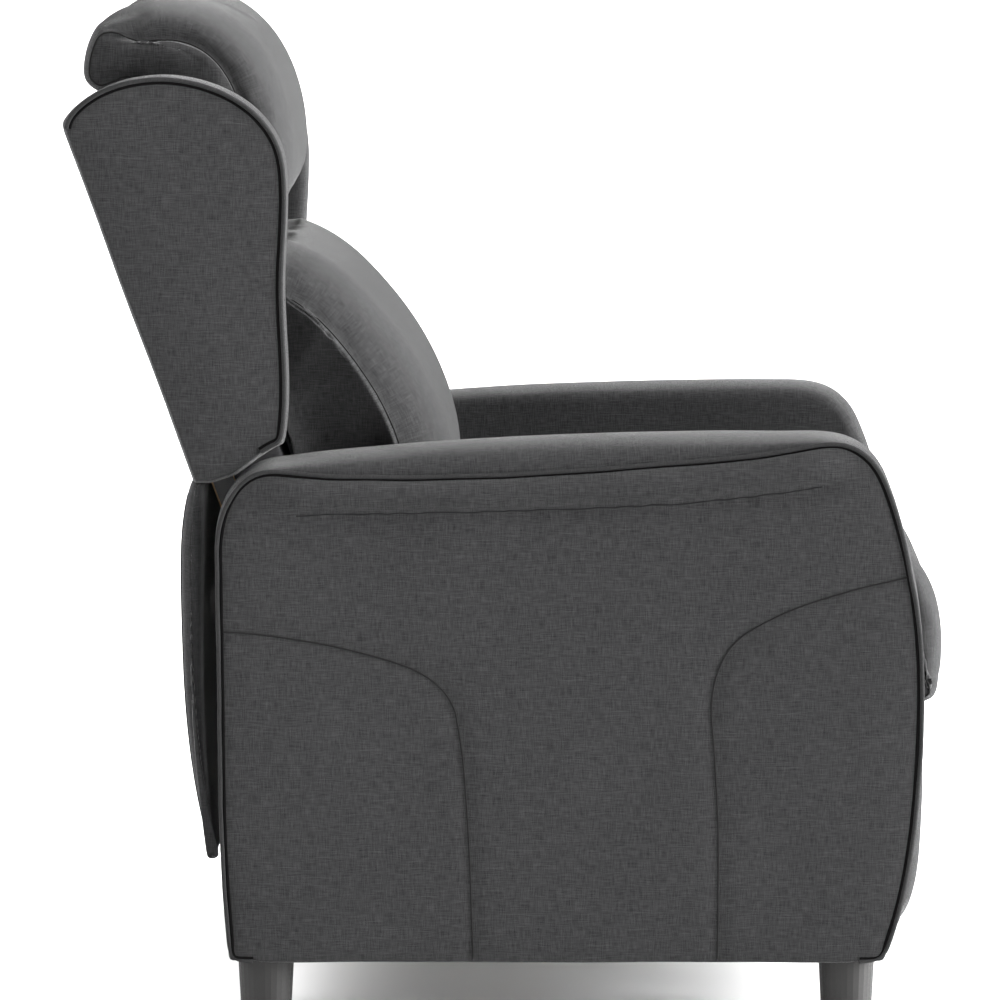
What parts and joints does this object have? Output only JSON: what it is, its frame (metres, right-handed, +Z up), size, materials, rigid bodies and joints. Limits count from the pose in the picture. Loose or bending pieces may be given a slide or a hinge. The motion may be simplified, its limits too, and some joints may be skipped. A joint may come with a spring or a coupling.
{
  "type": "recliner armchair",
  "caption": "Push-back recliner armchair with side wings, piped fabric upholstery, padded seat, lumbar and head cushions, a folding footrest on steel links and round legs.",
  "frame": {"origin": "centre of the chair's footprint box on the floor", "axes": "+Z up, the sitter faces -Y, +X to the sitter's left, the chair is mirrored about X = 0"},
  "size_m": [0.692, 0.8939, 1.0257],
  "materials": {
    "upholstery": "matt heathered linen weave, charcoal",
    "lining": "matt black lining over foam",
    "hardwood": "raw planed hardwood and plywood",
    "black_steel": "black painted steel",
    "zinc_steel": "zinc plated steel",
    "leg_plastic": "dark grey moulded plastic"
  },
  "bodies": {
    "base": {"outside_arm_panel_right": "upholstery", "outside_arm_panel_left": "upholstery", "arm_pad_right": "upholstery", "arm_pad_left": "upholstery", "arm_board_right": "hardwood", "arm_board_left": "hardwood", "arm_front_post_right": "hardwood", "arm_front_post_left": "hardwood", "arm_rear_post_right": "hardwood", "arm_rear_post_left": "hardwood", "leg_front_right": "leg_plastic", "leg_front_left": "leg_plastic", "leg_rear_right": "leg_plastic", "leg_rear_left": "leg_plastic", "track_right": "zinc_steel", "track_left": "zinc_steel", "pivot_plate_right": "black_steel", "pivot_plate_left": "black_steel", "base_rear_rail": "hardwood", "base_front_tube": "black_steel", "rear_flap": "upholstery"},
    "seat": {"seat_side_rail_right": "hardwood", "seat_side_rail_left": "hardwood", "seat_side_plate_right": "black_steel", "seat_side_plate_left": "black_steel", "seat_front_rail": "hardwood", "seat_rear_rail": "hardwood", "seat_cushion": "upholstery", "seat_spring_1": "zinc_steel", "seat_spring_2": "zinc_steel", "seat_spring_3": "zinc_steel", "seat_spring_4": "zinc_steel"},
    "back": {"back_post_right": "hardwood", "back_post_left": "hardwood", "back_bracket_right": "black_steel", "back_bracket_left": "black_steel", "wing_right": "upholstery", "wing_left": "upholstery", "back_top_rail": "hardwood", "back_middle_rail": "hardwood", "back_low_rail": "hardwood", "back_foam": "lining", "outside_back_panel": "upholstery", "lumbar_cushion": "upholstery", "head_cushion": "upholstery"},
    "rear_links": {"rear_link_right": "black_steel", "rear_link_left": "black_steel", "torque_tube": "black_steel"},
    "front_links": {"front_link_right": "black_steel", "front_link_left": "black_steel"},
    "guide_links": {"guide_link_right": "black_steel", "guide_link_left": "black_steel"},
    "tilt_links": {"tilt_link_right": "black_steel", "tilt_link_left": "black_steel"},
    "drive_links": {"drive_link_right": "black_steel", "drive_link_left": "black_steel"},
    "footrest": {"footrest_bracket_right": "black_steel", "footrest_bracket_left": "black_steel", "footrest_board": "hardwood", "footrest_pad": "upholstery"}
  },
  "joints": [
    {"name": "back_recline", "type": "hinge", "parent": "base", "child": "back", "pos_m": [0, 0.215, 0.37], "axis": [-1, 0, 0], "range_deg": [0, 38], "deforming": ["rear_flap"]},
    {"name": "seat_slide", "type": "slide", "parent": "base", "child": "seat", "axis": [0, -0.9962, 0.0872], "range_m": [0, 0.07527]},
    {"name": "rear_link_swing", "type": "hinge", "parent": "seat", "child": "rear_links", "pos_m": [0, -0.2564, 0.2628], "axis": [-1, 0, 0], "range_deg": [0, 122.89]},
    {"name": "front_link_swing", "type": "hinge", "parent": "rear_links", "child": "front_links", "pos_m": [0, -0.1336, 0.1392], "axis": [-1, 0, 0], "range_deg": [-97.76, 0]},
    {"name": "footrest_tilt", "type": "hinge", "parent": "front_links", "child": "footrest", "pos_m": [0, -0.355, 0.1602], "axis": [-1, 0, 0], "range_deg": [0, 55]},
    {"name": "guide_link_swing", "type": "hinge", "parent": "seat", "child": "guide_links", "pos_m": [0, -0.3252, 0.2807], "axis": [-1, 0, 0], "range_deg": [0, 125.35]},
    {"name": "tilt_link_swing", "type": "hinge", "parent": "guide_links", "child": "tilt_links", "pos_m": [0, -0.23745, 0.17372], "axis": [-1, 0, 0], "range_deg": [-107.36, 0]},
    {"name": "drive_link_swing", "type": "hinge", "parent": "base", "child": "drive_links", "pos_m": [0, -0.2795, 0.346], "axis": [-1, 0, 0], "range_deg": [0, 78.62]}
  ],
  "couplings": [
    {"joint": "seat_slide", "follows": "back_recline", "m_per_rad": 0.11334},
    {"joint": "rear_link_swing", "follows": "back_recline", "ratio": 3.2326},
    {"joint": "front_link_swing", "follows": "back_recline", "ratio": -2.5713},
    {"joint": "footrest_tilt", "follows": "back_recline", "ratio": 1.4461},
    {"joint": "guide_link_swing", "follows": "back_recline", "ratio": 3.2975},
    {"joint": "tilt_link_swing", "follows": "back_recline", "ratio": -2.8241},
    {"joint": "drive_link_swing", "follows": "back_recline", "ratio": 2.0675}
  ]
}
